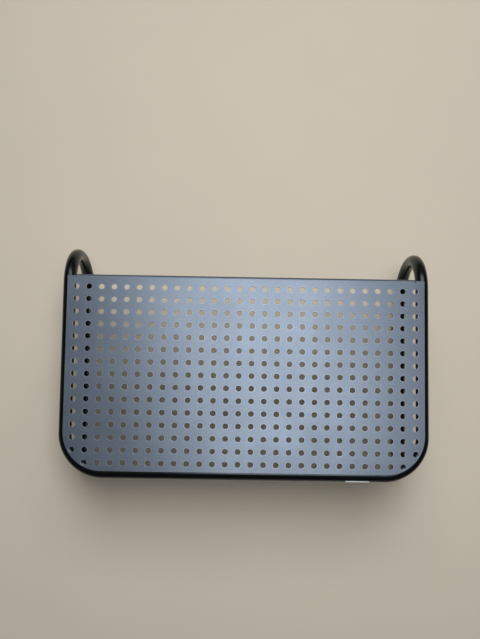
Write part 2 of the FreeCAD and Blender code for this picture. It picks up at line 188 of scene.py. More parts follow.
# %% [markdown]
# ## Looks shared by several pieces
# Three effects turn up on more than one piece, so each is a node group, built once.
#
# A powder coat is melted powder: it has a fine orange-peel surface, a slightly uneven
# sheen over a hand's width, and tiny bright flakes. Dust settles only on what faces up.
# Moulded rubber and plastic carry the fine pitted texture of their mould. A group gives
# out only masks and heights. The shader stays in the material, and so does every number
# that is the same all over.


# %% Node helpers
def node(tree, kind, settings=None, inputs=None):
    """A new shader node. An input is given a number, or an output that is joined to it."""
    made = tree.nodes.new("ShaderNode" + kind)
    for name, setting in (settings or {}).items():
        setattr(made, name, setting)
    for key, given in (inputs or {}).items():
        if isinstance(given, bpy.types.NodeSocket):
            tree.links.new(given, made.inputs[key])
        else:
            made.inputs[key].default_value = given
    return made


def math_node(tree, operation, first, second=0.0, third=0.0):
    """The output of a Math node with up to three inputs."""
    made = node(tree, "Math", {"operation": operation}, {0: first, 1: second, 2: third})
    return made.outputs[0]


def spread(tree, value, from_low, from_high, to_low, to_high):
    """A value moved from one range to another, and kept inside it."""
    made = node(tree, "MapRange", {"clamp": True}, {
        "Value": value, "From Min": from_low, "From Max": from_high,
        "To Min": to_low, "To Max": to_high})
    return made.outputs["Result"]


def noise(tree, where, scale, detail=2.0, roughness=0.5):
    """Soft noise between 0 and 1, with a scale in cells for each metre."""
    made = node(tree, "TexNoise", None, {
        "Vector": where, "Scale": scale, "Detail": detail, "Roughness": roughness})
    return made.outputs["Fac"]


def new_group(name, inputs, outputs):
    """An empty node group with a vector input called Where and the named sockets."""
    tree = bpy.data.node_groups.new(name, "ShaderNodeTree")
    tree.interface.new_socket("Where", in_out="INPUT", socket_type="NodeSocketVector")
    for socket, default in inputs.items():
        made = tree.interface.new_socket(socket, in_out="INPUT", socket_type="NodeSocketFloat")
        made.default_value = default
    for socket in outputs:
        tree.interface.new_socket(socket, in_out="OUTPUT", socket_type="NodeSocketFloat")
    return tree, tree.nodes.new("NodeGroupInput"), tree.nodes.new("NodeGroupOutput")


# %% Powder coat: orange peel, cloud and flakes
def powder_coat_group():
    """Height is two sizes of soft noise added. Cloud is noise a few centimetres across.
    Flake is the part of a cell pattern whose random value is near 1."""
    tree, given, out = new_group(
        "powder_coat", {"Peel": 900.0, "Flake": 2600.0}, ["Height", "Cloud", "Flake"])
    where = given.outputs["Where"]
    peel = given.outputs["Peel"]
    coarse = noise(tree, where, peel, detail=1.0)
    fine_scale = math_node(tree, "MULTIPLY", peel, 2.7)
    fine = noise(tree, where, fine_scale, detail=2.0, roughness=0.6)
    height = math_node(tree, "MULTIPLY_ADD", fine, 0.35, coarse)
    cloud = noise(tree, where, 22.0, detail=3.0, roughness=0.55)
    cells = node(tree, "TexVoronoi", None, {
        "Vector": where, "Scale": given.outputs["Flake"], "Randomness": 1.0})
    lightness = node(tree, "RGBToBW", None, {"Color": cells.outputs["Color"]})
    flake = spread(tree, lightness.outputs["Val"], 0.66, 0.86, 0.0, 1.0)
    tree.links.new(height, out.inputs["Height"])
    tree.links.new(cloud, out.inputs["Cloud"])
    tree.links.new(flake, out.inputs["Flake"])
    return tree


# %% Dust on faces that look up
def dust_group():
    """Mask is patchy noise times fine specks, where the face looks up."""
    tree, given, out = new_group("settled_dust", {"Amount": 0.3}, ["Mask"])
    where = given.outputs["Where"]
    facing = node(tree, "SeparateXYZ", None, {
        "Vector": node(tree, "NewGeometry").outputs["Normal"]})
    upward = spread(tree, facing.outputs["Z"], 0.35, 0.95, 0.0, 1.0)
    patches = spread(tree, noise(tree, where, 34.0, detail=4.0), 0.42, 0.72, 0.15, 1.0)
    specks = spread(tree, noise(tree, where, 1500.0, detail=1.0), 0.55, 0.75, 0.0, 1.0)
    layer = math_node(tree, "MULTIPLY", patches, upward)
    speckled = math_node(tree, "MULTIPLY", layer, specks)
    amount = math_node(tree, "MULTIPLY", speckled, given.outputs["Amount"])
    tree.links.new(amount, out.inputs["Mask"])
    return tree


# %% Fine pitted texture of a mould
def mould_group():
    """Height is the distance to the nearest of many small cells, Blotch is broad noise."""
    tree, given, out = new_group("mould_texture", {"Grain": 2200.0}, ["Height", "Blotch"])
    where = given.outputs["Where"]
    pits = node(tree, "TexVoronoi", None, {"Vector": where, "Scale": given.outputs["Grain"]})
    blotch = noise(tree, where, 160.0, detail=3.0)
    tree.links.new(pits.outputs["Distance"], out.inputs["Height"])
    tree.links.new(blotch, out.inputs["Blotch"])
    return tree


POWDER = powder_coat_group()
DUST = dust_group()
MOULD = mould_group()
print("node groups:", POWDER.name, DUST.name, MOULD.name)

# %% [markdown]
# ## Materials
# The deck is a satin charcoal powder coat with pearl in it, so it takes on the blue-grey
# of the light above. The frame has a darker, glossier black coat. Both get the powder
# coat group, each with its own values. The lip round every hole was rolled over by the
# punch and is painted lighter, partly as rubbed wear and partly as a painted highlight
# where the roll catches the light. The hole's wall below it is painted near black, a
# painted shade in the bore. One formula finds both: the distance to the nearest hole's
# centre.


# %% Start of every material
DUST_COLOUR = (0.36, 0.33, 0.28, 1)


def new_material(name):
    """A node material with an empty Principled shader and its Object coordinates."""
    material = bpy.data.materials.new(name)
    material.use_nodes = True
    tree = material.node_tree
    tree.nodes.clear()
    shader = tree.nodes.new("ShaderNodeBsdfPrincipled")
    output = tree.nodes.new("ShaderNodeOutputMaterial")
    tree.links.new(shader.outputs["BSDF"], output.inputs["Surface"])
    where = tree.nodes.new("ShaderNodeTexCoord").outputs["Object"]
    return material, tree, shader, where


def place_group(tree, group, where, **values):
    """A node group in a material, with its own values."""
    made = tree.nodes.new("ShaderNodeGroup")
    made.node_tree = group
    tree.links.new(where, made.inputs["Where"])
    for name, value in values.items():
        made.inputs[name].default_value = value
    return made


def mixed(tree, mask, first, second):
    """A colour between two, by a mask."""
    made = node(tree, "Mix", {"data_type": "RGBA"}, {0: mask, 6: first, 7: second})
    return made.outputs[2]


def bumped(tree, shader, height, distance):
    """Sends a height in units of distance to the shader's normal."""
    bump = node(tree, "Bump", None, {"Height": height, "Distance": distance, "Strength": 1.0})
    tree.links.new(bump.outputs["Normal"], shader.inputs["Normal"])


# %% The holes' grid, which the deck and its coat share
PITCH = 12.7 * MM
HOLE_R = 2.75 * MM
COLUMNS = 28
ROWS = 15
FRONT_ROW_Y = deck_low[1] + 8.4 * MM
FIRST_COLUMN_X = -(COLUMNS - 1) * PITCH / 2
GRID_X = COLUMNS * PITCH / 2
GRID_FRONT = FRONT_ROW_Y - PITCH / 2
GRID_BACK = FRONT_ROW_Y + (ROWS - 0.5) * PITCH
LIP = 0.28 * MM
print("%d columns and %d rows of holes, %.2f mm across" % (COLUMNS, ROWS, 2 * HOLE_R / MM))


def near_hole(tree, where):
    """Distance to the nearest hole's centre, in metres.

    The place in the holes' grid, less the nearest whole number, times the pitch.
    """
    moved = node(tree, "VectorMath", {"operation": "SUBTRACT"}, {
        0: where, 1: (FIRST_COLUMN_X, FRONT_ROW_Y, 0.0)})
    cells = node(tree, "VectorMath", {"operation": "MULTIPLY"}, {
        0: moved.outputs[0], 1: (1 / PITCH, 1 / PITCH, 0.0)})
    shifted = node(tree, "VectorMath", {"operation": "ADD"}, {
        0: cells.outputs[0], 1: (0.5, 0.5, 0.0)})
    part = node(tree, "VectorMath", {"operation": "FRACTION"}, {0: shifted.outputs[0]})
    offset = node(tree, "VectorMath", {"operation": "SUBTRACT"}, {
        0: part.outputs[0], 1: (0.5, 0.5, 0.0)})
    length = node(tree, "VectorMath", {"operation": "LENGTH"}, {0: offset.outputs[0]})
    return math_node(tree, "MULTIPLY", length.outputs["Value"], PITCH)


# %% Deck coat
def deck_coat():
    """Satin pearl charcoal and dust; lips: wear plus painted highlight; hole walls: painted shade."""
    material, tree, shader, where = new_material("deck_coat")
    powder = place_group(tree, POWDER, where, Peel=820.0, Flake=3000.0)
    dust = place_group(tree, DUST, where, Amount=0.10)
    charcoal, slate = (0.079, 0.097, 0.126, 1), (0.092, 0.113, 0.144, 1)
    cloudy = mixed(tree, powder.outputs["Cloud"], charcoal, slate)
    pearl = math_node(tree, "MULTIPLY", powder.outputs["Flake"], 0.22)
    coat = mixed(tree, pearl, cloudy, (0.30, 0.34, 0.40, 1))
    distance = near_hole(tree, where)
    # Each hole's lip is painted lighter: partly rubbed wear, partly a painted highlight of the rolled
    # lip.
    lip = spread(tree, distance, HOLE_R, HOLE_R + 3 * LIP, 1.0, 0.0)
    place = node(tree, "SeparateXYZ", None, {"Vector": where})
    perforated = math_node(tree, "LESS_THAN", place.outputs["Y"], GRID_BACK)
    patchy = math_node(tree, "MULTIPLY", perforated, noise(tree, where, 260.0))
    scuff_and_highlight = math_node(tree, "MULTIPLY", lip, patchy)
    rubbed_and_highlit = mixed(tree, scuff_and_highlight, coat, (0.34, 0.38, 0.44, 1))
    dusted = mixed(tree, dust.outputs["Mask"], rubbed_and_highlit, DUST_COLOUR)
    # The hole's wall is painted near black: a painted shade inside each hole's bore.
    bore_shade_mask = math_node(tree, "LESS_THAN", distance, HOLE_R + LIP / 3)
    wall = math_node(tree, "MULTIPLY", bore_shade_mask, perforated)
    colour = mixed(tree, wall, dusted, (0.008, 0.009, 0.011, 1))
    tree.links.new(colour, shader.inputs["Base Color"])
    sheen = spread(tree, powder.outputs["Cloud"], 0.3, 0.7, 0.31, 0.38)
    dusty = math_node(tree, "MULTIPLY_ADD", dust.outputs["Mask"], 0.4, sheen)
    tree.links.new(dusty, shader.inputs["Roughness"])
    shader.inputs["Metallic"].default_value = 0.55
    bumped(tree, shader, powder.outputs["Height"], 0.012 * MM)
    return material


# %% Frame coat
def frame_coat():
    """Black with more gloss than the deck, and dust only along the top of the tube."""
    material, tree, shader, where = new_material("frame_coat")
    powder = place_group(tree, POWDER, where, Peel=1000.0, Flake=3400.0)
    dust = place_group(tree, DUST, where, Amount=0.015)
    jet, soot = (0.0012, 0.0014, 0.0018, 1), (0.0022, 0.0025, 0.003, 1)
    cloudy = mixed(tree, powder.outputs["Cloud"], jet, soot)
    pearl = math_node(tree, "MULTIPLY", powder.outputs["Flake"], 0.02)
    coat = mixed(tree, pearl, cloudy, (0.06, 0.065, 0.07, 1))
    colour = mixed(tree, dust.outputs["Mask"], coat, DUST_COLOUR)
    tree.links.new(colour, shader.inputs["Base Color"])
    sheen = spread(tree, powder.outputs["Cloud"], 0.3, 0.7, 0.21, 0.27)
    dusty = math_node(tree, "MULTIPLY_ADD", dust.outputs["Mask"], 0.4, sheen)
    tree.links.new(dusty, shader.inputs["Roughness"])
    shader.inputs["Specular IOR Level"].default_value = 0.4
    shader.inputs["Specular Tint"].default_value = (0.82, 0.91, 1.0, 1)
    bumped(tree, shader, powder.outputs["Height"], 0.010 * MM)
    return material


# %% Rubber and moulded plastic
def moulded(name, dark, light, low, high, depth, grain, dust_amount):
    """A dark moulded finish between two colours and two roughnesses, with fine pits."""
    material, tree, shader, where = new_material(name)
    mould = place_group(tree, MOULD, where, Grain=grain)
    dust = place_group(tree, DUST, where, Amount=dust_amount)
    body = mixed(tree, mould.outputs["Blotch"], (*dark, 1), (*light, 1))
    colour = mixed(tree, dust.outputs["Mask"], body, DUST_COLOUR)
    tree.links.new(colour, shader.inputs["Base Color"])
    roughness = spread(tree, mould.outputs["Blotch"], 0.3, 0.7, low, high)
    tree.links.new(roughness, shader.inputs["Roughness"])
    bumped(tree, shader, mould.outputs["Height"], depth)
    return material


# %% Brushed nameplate
def brushed_plate():
    """Bare aluminium brushed from left to right: noise drawn out along X."""
    material, tree, shader, where = new_material("plate_metal")
    drawn = node(tree, "Mapping", None, {"Vector": where, "Scale": (60.0, 5200.0, 5200.0)})
    lines = noise(tree, drawn.outputs["Vector"], 1.0, detail=3.0, roughness=0.6)
    colour = mixed(tree, lines, (0.42, 0.43, 0.44, 1), (0.58, 0.59, 0.60, 1))
    tree.links.new(colour, shader.inputs["Base Color"])
    tree.links.new(spread(tree, lines, 0.2, 0.8, 0.24, 0.42), shader.inputs["Roughness"])
    shader.inputs["Metallic"].default_value = 1.0
    bumped(tree, shader, lines, 0.006 * MM)
    return material


# %% Make the materials
DECK_COAT = deck_coat()
FRAME_COAT = frame_coat()
RUBBER = moulded("foot_rubber", (0.016, 0.016, 0.016), (0.030, 0.029, 0.028),
                 0.62, 0.82, 0.03 * MM, 1700.0, 0.25)
PLASTIC = moulded("cap_plastic", (0.013, 0.013, 0.014), (0.020, 0.020, 0.021),
                  0.38, 0.52, 0.02 * MM, 2600.0, 0.12)
FOAM = moulded("tape_foam", (0.42, 0.42, 0.41), (0.58, 0.58, 0.56),
               0.75, 0.90, 0.04 * MM, 3200.0, 0.05)
ALUMINIUM = brushed_plate()
print("materials:", [material.name for material in bpy.data.materials if material.use_nodes])

# %% [markdown]
# ## The bent tube
# The real tube is bent on two sizes of former, so its centre line is only straight runs
# and round arcs. A curve object with a bevel could follow it, but then nothing says where
# a ring of points sits or which way it is turned. Here the centre line is worked out as
# arrays of points, directions and sideways directions. The sideways direction always
# lies level and points away from the riser's middle, so the rings never twist.


# %% Centre line of the tube
def right_half():
    """Points, directions and sideways directions from the right leg's end to the middle.

    Leg and rail are straight lines. The C bend is half a circle in the plane x = RAIL_X:
    y = BEND_Y + R cos t and z = middle + R sin t, with t from -90 to 90 degrees. The
    corner is a quarter circle at the height of the rails: x = CORNER_X + R cos p and
    y = CORNER_Y + R sin p, with p from 0 to -90 degrees.
    """
    flat = np.linspace(0, 1, 11)[:-1]
    t = np.radians(np.linspace(-90, 90, 49))[:-1]
    p = np.radians(np.linspace(0, -90, 31))[:-1]
    middle_z = (LEG_Z + RAIL_Z) / 2
    leg_y = LEG_END_Y + LIP + flat * (BEND_Y - LEG_END_Y - LIP)
    rail_y = BEND_Y + flat * (CORNER_Y - BEND_Y)
    front_x = CORNER_X * (1 - flat)
    zero = np.zeros_like
    leg = [RAIL_X + zero(flat), leg_y, LEG_Z + zero(flat)]
    bend = [RAIL_X + zero(t), BEND_Y + BEND_R * np.cos(t), middle_z + BEND_R * np.sin(t)]
    rail = [RAIL_X + zero(flat), rail_y, RAIL_Z + zero(flat)]
    corner = [CORNER_X + CORNER_R * np.cos(p), CORNER_Y + CORNER_R * np.sin(p), RAIL_Z + zero(p)]
    front = [front_x, FRONT_Y + zero(flat), RAIL_Z + zero(flat)]
    points = np.concatenate([np.stack(run, -1) for run in (leg, bend, rail, corner, front)])
    tilt = np.concatenate([zero(flat) - np.pi / 2, t, zero(flat) + np.pi / 2,
                           zero(p) + np.pi / 2, zero(flat) + np.pi / 2])
    turn = np.concatenate([zero(flat), zero(t), zero(flat), p, zero(flat) - np.pi / 2])
    ahead = np.stack([np.sin(tilt) * np.sin(turn), -np.sin(tilt) * np.cos(turn), np.cos(tilt)], -1)
    aside = np.stack([np.cos(turn), np.sin(turn), zero(turn)], -1)
    return points, ahead, aside


def whole_line():
    """The right half, the middle of the front rail, and the right half mirrored back.

    A mirrored direction runs the other way, so its y and z change sign instead of its x.
    """
    points, ahead, aside = right_half()
    middle = np.array([[0.0, FRONT_Y, RAIL_Z]])
    points = np.concatenate([points, middle, points[::-1] * (-1, 1, 1)])
    ahead = np.concatenate([ahead, [[-1.0, 0.0, 0.0]], ahead[::-1] * (1, -1, -1)])
    aside = np.concatenate([aside, [[0.0, -1.0, 0.0]], aside[::-1] * (-1, 1, 1)])
    return points, ahead, aside


# %% Rings of points along the centre line
ROUND = 56


def rings(points, ahead, aside, radius):
    """A ring round every point: point + radius (cos a aside + sin a up).

    Up is ahead x aside, at right angles to both, and a runs once round.
    """
    a = np.linspace(0, 2 * np.pi, ROUND, endpoint=False)
    up = np.cross(ahead, aside)
    spoke = np.cos(a)[None, :, None] * aside[:, None] + np.sin(a)[None, :, None] * up[:, None]
    return points[:, None] + np.reshape(radius, (-1, 1, 1)) * spoke


def tube_grid():
    """Outer skin, rounded end, bore and other end, as one grid closed both ways.

    The end of the wall is half an ellipse: the rim's rings go out along the tube by
    LIP sin s while their radius falls by wall / 2 (1 - cos s).
    """
    points, ahead, aside = whole_line()
    s = np.radians(np.linspace(0, 180, 9))[1:-1]
    out = LIP * np.sin(s)[:, None]
    radius = TUBE_R - TUBE_WALL / 2 * (1 - np.cos(s))
    repeat = np.ones((len(s), 1))
    outside = rings(points, ahead, aside, np.full(len(points), TUBE_R))
    inside = rings(points, ahead, aside, np.full(len(points), TUBE_R - TUBE_WALL))
    far_end = rings(points[-1] + out * ahead[-1], repeat * ahead[-1], repeat * aside[-1], radius)
    near_end = rings(points[0] - out * ahead[0], repeat * ahead[0], repeat * aside[0], radius)
    return np.concatenate([outside, far_end, inside[::-1], near_end[::-1]])


tube = make_piece("bent_tube", [tube_grid()], closed_rows=True, closed_columns=True)
finish_piece(tube, FRAME_COAT, "frame_coat", "frame_tube")

# %% [markdown]
# ## The perforated deck
# The deck is one sheet, 1.2 mm thick, with 418 round holes on a square pitch, round front
# corners, and a flange folded down along the back between two relief slots. Cutting 418
# cylinders out of a plate with booleans is slow and leaves ragged faces. The sheet is
# laid out instead as one skin of square cells: each cell is a ring of faces between the
# hole's rim and the cell's edge. Margins join the cells to the outline. Solidify then
# gives the skin its thickness, and Bevel rolls every sharp edge over a little, as a punch
# and a powder coat do.

# %% The deck's outline and fold
HALF_WIDTH = deck_high[0]
OUTLINE_R = CORNER_R
ARC_X = HALF_WIDTH - OUTLINE_R
ARC_Y = deck_low[1] + OUTLINE_R
FOLD_R = 2.0 * MM + SHEET
FOLD_Y = deck_high[1] - FOLD_R
SLOT_Y = FOLD_Y - 0.5 * MM
PER_SIDE = 5
STEP = PITCH / PER_SIDE
FLANGE_X = 171.6 * MM
EAR_X = FLANGE_X + 0.6 * MM
EAR_Y = deck_high[1] - 1.8 * MM
FLANGE_STEP = math.floor(FLANGE_X / STEP)
print("cells reach x %.2f mm of %.2f mm" % (GRID_X / MM, HALF_WIDTH / MM))

# %% Fit the cells into the round corners
SQUEEZE_FROM = 38.0 * MM
SQUEEZE_TO = 38.6 * MM


def corner_polar(xy):
    """Distance and direction from the nearer front corner's centre, and a corner mask."""
    centre = np.stack([np.sign(xy[..., 0]) * ARC_X, np.full(xy.shape[:-1], ARC_Y)], -1)
    offset = xy - centre
    distance = np.linalg.norm(offset, axis=-1, keepdims=True)
    direction = offset / np.maximum(distance, WELD)
    inside = (np.abs(xy[..., 0]) > ARC_X) & (xy[..., 1] < ARC_Y)
    return centre, distance, direction, inside[..., None]


def squeeze(xy):
    """Draws points that lie outside a round corner back into a narrow band beside it.

    Past SQUEEZE_FROM from the corner's centre, the distance grows so slowly that the
    corner of the grid ends at SQUEEZE_TO.
    """
    centre, distance, direction, inside = corner_polar(xy)
    farthest = math.hypot(GRID_X - ARC_X, GRID_FRONT - ARC_Y)
    rate = (SQUEEZE_TO - SQUEEZE_FROM) / (farthest - SQUEEZE_FROM)
    slow = SQUEEZE_FROM + (distance - SQUEEZE_FROM) * rate
    moved = centre + direction * np.where(distance > SQUEEZE_FROM, slow, distance)
    return np.where(inside, moved, xy)


def on_outline(xy):
    """The point of the deck's outline that a point of the grid's edge is joined to."""
    centre, distance, direction, inside = corner_polar(xy)
    front = xy[..., 1] <= GRID_FRONT + WELD
    straight = np.stack([np.where(front, xy[..., 0], np.sign(xy[..., 0]) * HALF_WIDTH),
                         np.where(front, deck_low[1], xy[..., 1])], -1)
    return np.where(inside, centre + direction * OUTLINE_R, straight)


# %% Cells with a hole in each
def square_edge():
    """Points in equal steps round a square from -1 to 1, from its lower right corner."""
    step = np.arange(PER_SIDE) / PER_SIDE * 2 - 1
    one = np.ones(PER_SIDE)
    sides = [(one, step), (-step, one), (-one, -step), (step, -one)]
    return np.concatenate([np.stack(side, -1) for side in sides])


def hole_cells():
    """Rings from each cell's square edge to its hole's rim, for all cells at once.

    The rim is centre + r (cos a, sin a), with a from -45 degrees in equal steps, so that
    it starts beside the square's lower right corner. The two cells whose hole would cut
    the round corners are left out.
    """
    column, row = np.meshgrid(np.arange(COLUMNS), np.arange(ROWS), indexing="xy")
    cut_off = (row == 0) & ((column == 0) | (column == COLUMNS - 1))
    centres = np.stack([FIRST_COLUMN_X + column[~cut_off] * PITCH,
                        FRONT_ROW_Y + row[~cut_off] * PITCH], -1)
    a = np.radians(-45) + np.linspace(0, 2 * np.pi, 4 * PER_SIDE, endpoint=False)
    rim = HOLE_R * np.stack([np.cos(a), np.sin(a)], -1)
    outer = squeeze(centres[:, None] + PITCH / 2 * square_edge())
    return np.stack([outer, centres[:, None] + rim], axis=1)


# %% Margins and corner patches
def plain_patch(x, y):
    """A grid of points over columns x and rows y, squeezed into the round corners."""
    return squeeze(np.stack(np.meshgrid(x, y, indexing="xy"), -1))


def edge_margin():
    """The strip between cells and outline: down the left, along the front, up the right."""
    x = np.linspace(-GRID_X, GRID_X, COLUMNS * PER_SIDE + 1)
    y = np.linspace(GRID_BACK, GRID_FRONT, ROWS * PER_SIDE + 1)
    left = np.stack([np.full(len(y), -GRID_X), y], -1)
    front = np.stack([x, np.full(len(x), GRID_FRONT)], -1)
    right = left[::-1] * (-1, 1)
    chain = np.concatenate([left, front[1:-1], right])
    return np.stack([on_outline(chain), squeeze(chain)])


def level(xy):
    """Points of the plan at the height of the deck's top."""
    return np.concatenate([xy, np.full((*xy.shape[:-1], 1), DECK_TOP)], -1)


# %% The fold and the flange
def swept_back(x, y, z):
    """A section given as y and z, carried from left to right through the columns x."""
    rows = len(y)
    return np.stack([np.broadcast_to(x, (rows, len(x))),
                     np.broadcast_to(y[:, None], (rows, len(x))),
                     np.broadcast_to(z[:, None], (rows, len(x)))], -1)


def back_grids():
    """The strip behind the holes, the folded flange, and the two flat ears beside it.

    The two columns of points next to each slot are moved to its sides. The fold is a
    quarter circle: y = FOLD_Y + R sin f and z = top - R (1 - cos f).
    """
    cells = np.arange(-COLUMNS * PER_SIDE // 2, COLUMNS * PER_SIDE // 2 + 1) * STEP
    x = np.concatenate([[-HALF_WIDTH], cells, [HALF_WIDTH]])
    beside = np.isclose(np.abs(x), FLANGE_STEP * STEP)
    beyond = np.isclose(np.abs(x), (FLANGE_STEP + 1) * STEP)
    slotted = np.where(beside, np.sign(x) * FLANGE_X, x)
    slotted = np.where(beyond, np.sign(x) * EAR_X, slotted)
    flange = slotted[np.abs(slotted) < FLANGE_X + WELD]
    ear = slotted[slotted > EAR_X - WELD]
    f = np.radians(np.linspace(0, 90, 8))
    y = np.concatenate([[SLOT_Y], FOLD_Y + FOLD_R * np.sin(f), [deck_high[1]]])
    z = np.concatenate([[DECK_TOP], DECK_TOP - FOLD_R * (1 - np.cos(f)), [deck_low[2]]])
    ear_y = np.array([SLOT_Y, EAR_Y])
    top = np.full(2, DECK_TOP)
    strip = swept_back(x, np.array([GRID_BACK, SLOT_Y]), top)
    strip[1, :, 0] = slotted
    return [strip, swept_back(flange, y, z),
            swept_back(ear, ear_y, top), swept_back(-ear[::-1], ear_y, top)]


# %% Deck: skin, thickness and rolled edges
def make_deck():
    """The skin of the deck, with Solidify for its thickness and Bevel for its edges."""
    corner_x = np.linspace(GRID_X - PITCH, GRID_X, PER_SIDE + 1)
    corner_y = np.linspace(GRID_FRONT, GRID_FRONT + PITCH, PER_SIDE + 1)
    grids = [level(plain_patch(corner_x, corner_y)), level(plain_patch(-corner_x[::-1], corner_y)),
             level(edge_margin())] + back_grids()
    rings_of_cells = level(hole_cells())
    closing = rings_of_cells[:, :, :1]
    grids.append(np.concatenate([rings_of_cells, closing], axis=2))
    deck = make_piece("perforated_deck", grids)
    thick = deck.modifiers.new("sheet", "SOLIDIFY")
    thick.thickness = SHEET
    thick.offset = -1
    thick.use_even_offset = True
    rolled = deck.modifiers.new("rolled edges", "BEVEL")
    rolled.width = LIP
    rolled.segments = 2
    rolled.limit_method = "ANGLE"
    rolled.angle_limit = math.radians(50)
    rolled.use_clamp_overlap = False
    rolled.harden_normals = True
    return deck


deck = make_deck()
finish_piece(deck, DECK_COAT, "deck_coat", "deck_sheet")

# %% [markdown]
# ## Weld beads
# Short fillet welds hold the sheet to the tube, in the wedge under the deck's edge. A
# weld is a row of overlapping drops: each bead is a bar with round ends whose radius
# ripples along its length. It is coated with the frame, so it has the frame's coat.

# %% One bead, and a row of them
BEAD_R = 1.9 * MM
BEAD_LENGTH = 14 * MM
BEAD_OFFSET = 4.4 * MM
BEAD_DROP = 1.1 * MM
RIPPLE = 1.25 * MM
RIPPLE_DEPTH = 0.10 * MM
RIPPLE_LEAN = 0.6 * MM
SIDE_PITCH = 56 * MM
FRONT_PITCH = 78 * MM


def bead(along):
    """A rippled bar with round ends from -length / 2 to length / 2 on the X axis.

    Near an end the radius is that of a ball, sqrt(r r - d d), where d is how far the
    place is past the ball's centre. Between the ends a cosine makes ripples, which lean
    forward on one side of the bead as the molten drops do.
    """
    a = np.linspace(0, 2 * np.pi, 20, endpoint=False)
    past = np.maximum(np.abs(along) - (BEAD_LENGTH / 2 - BEAD_R), 0)
    radius = np.sqrt(np.maximum(BEAD_R ** 2 - past ** 2, 0))
    lean = RIPPLE_LEAN * np.cos(a)[None]
    wave = RIPPLE_DEPTH * np.cos(2 * np.pi * (along[:, None] + lean) / RIPPLE)
    r = radius[:, None] + wave * (radius[:, None] / BEAD_R) ** 2
    x = np.broadcast_to(along[:, None], r.shape)
    return np.stack([x, r * np.cos(a), r * np.sin(a)], -1)


def bead_row(middles, along_x, across, rail):
    """Beads at middles along a rail, trimmed so that none shows above or in the tube.

    No point is higher than the sheet's underside. A point deeper in the tube than a
    third of its wall is pushed straight out to that depth.
    """
    steps = BEAD_LENGTH / 2 * np.sin(np.radians(np.linspace(-90, 90, 61)))
    shape = bead(steps)
    placed = np.stack([shape[..., 0] + 0 * shape[..., 1], across + shape[..., 1],
                       DECK_UNDER - BEAD_DROP + shape[..., 2]], -1)
    row = placed[None] + np.array(middles)[:, None, None, None] * (1, 0, 0)
    row[..., 2] = np.minimum(row[..., 2], DECK_UNDER)
    from_axis = row[..., 1:] - (rail, RAIL_Z)
    distance = np.linalg.norm(from_axis, axis=-1, keepdims=True)
    least = TUBE_R - TUBE_WALL / 3
    row[..., 1:] += from_axis / distance * np.maximum(least - distance, 0)
    return row if along_x else row[..., (1, 0, 2)][:, :, ::-1]


# %% Welds along the three rails
side_y = (deck_low[1] + deck_high[1]) / 2 + np.array([-1, 0, 1]) * SIDE_PITCH
front_x = np.array([-1.5, -0.5, 0.5, 1.5]) * FRONT_PITCH
weld_rows = [
    ("left_welds", side_y, False, -(RAIL_X - BEAD_OFFSET), -RAIL_X, "weld_beads_left"),
    ("right_welds", side_y, False, RAIL_X - BEAD_OFFSET, RAIL_X, "weld_beads_right"),
    ("front_welds", front_x, True, FRONT_Y + BEAD_OFFSET, FRONT_Y, "weld_beads_front"),
]
for name, middles, along_x, across, rail, cad_node in weld_rows:
    welds = make_piece(name, [bead_row(middles, along_x, across, rail)], closed_columns=True)
    finish_piece(welds, FRAME_COAT, "frame_coat", cad_node)

# %% [markdown]
# ## Turned pieces: end caps and studs
# An end cap is moulded in a turned cavity: a round-rimmed head with a shallow dish and
# the mark of the moulding gate, and a ribbed plug that grips the bore. A foot's stud is
# turned too. Both are a profile of radius against height, spun round an axis. Every
# corner of a profile is rounded by a short curve, because moulded rubber and plastic
# have no sharp corner, and a round one catches a thin line of light.


# %% Spin a profile
def spun(radius, height, steps=48):
    """A profile of radius against height, spun round Z, from the bottom up.

    Each row is one height: (r cos a, r sin a, h).
    """
    a = np.linspace(0, 2 * np.pi, steps, endpoint=False)
    x = radius[:, None] * np.cos(a)
    y = radius[:, None] * np.sin(a)
    z = np.broadcast_to(height[:, None], x.shape)
    return np.stack([x, y, z], -1)


def round_corner(corner, before, after, size, steps=4):
    """Points of a profile that round a corner off, as a curve between its two sides.

    The curve is (1 - t)(1 - t) start + 2 t (1 - t) corner + t t end, with t from 0 to 1.
    """
    corner, before, after = (np.array(point, float) for point in (corner, before, after))
    start = corner + (before - corner) / np.linalg.norm(before - corner) * size
    end = corner + (after - corner) / np.linalg.norm(after - corner) * size
    t = np.linspace(0, 1, steps + 1)[:, None]
    return (1 - t) ** 2 * start + 2 * t * (1 - t) * corner + t ** 2 * end


def rounded_profile(points, size):
    """A profile whose inner corners are all rounded, with its two ends kept."""
    middle = [round_corner(points[k], points[k - 1], points[k + 1], size)
              for k in range(1, len(points) - 1)]
    return np.concatenate([[points[0]], *middle, [points[-1]]])


# %% End caps
CAP_CORE = 4.1
CAP_TIP = -12.0
CAP_RIBS = (-10.0, -7.0, -4.0)
CAP_ROUNDING = 0.12
CAP_RIM = 1.2


def cap_profile():
    """Radius and height of an end cap: the ribbed plug's tip first, the dished face last.

    The outline is in millimetres. Heights are measured from the tube's end, with the
    head above it. Each rib has a slanted front and a steeper back.
    """
    rib = (TUBE_R - TUBE_WALL) / MM - 0.05
    head = TUBE_R / MM - 0.03
    face = CAP_HEAD / MM
    outline = [(0, CAP_TIP), (3.0, CAP_TIP), (CAP_CORE, CAP_TIP + 1.2)]
    for start in CAP_RIBS:
        outline += [(CAP_CORE, start), (rib, start + 0.35), (rib, start + 0.8), (CAP_CORE, start + 1.2)]
    outline += [(CAP_CORE, 0), (head, 0)]
    plug = rounded_profile(np.array(outline, float), CAP_ROUNDING)
    rim = round_corner((head, face), (head, 0), (0, face), CAP_RIM, 8)
    hollow = [(4.6, face), (3.9, face), (3.6, face - 0.35), (0.8, face - 0.4),
              (0.65, face - 0.25), (0.0, face - 0.22)]
    dish = rounded_profile(np.array(hollow), CAP_ROUNDING)
    profile = np.concatenate([plug, rim, dish]) * MM
    return profile[:, 0], profile[:, 1]


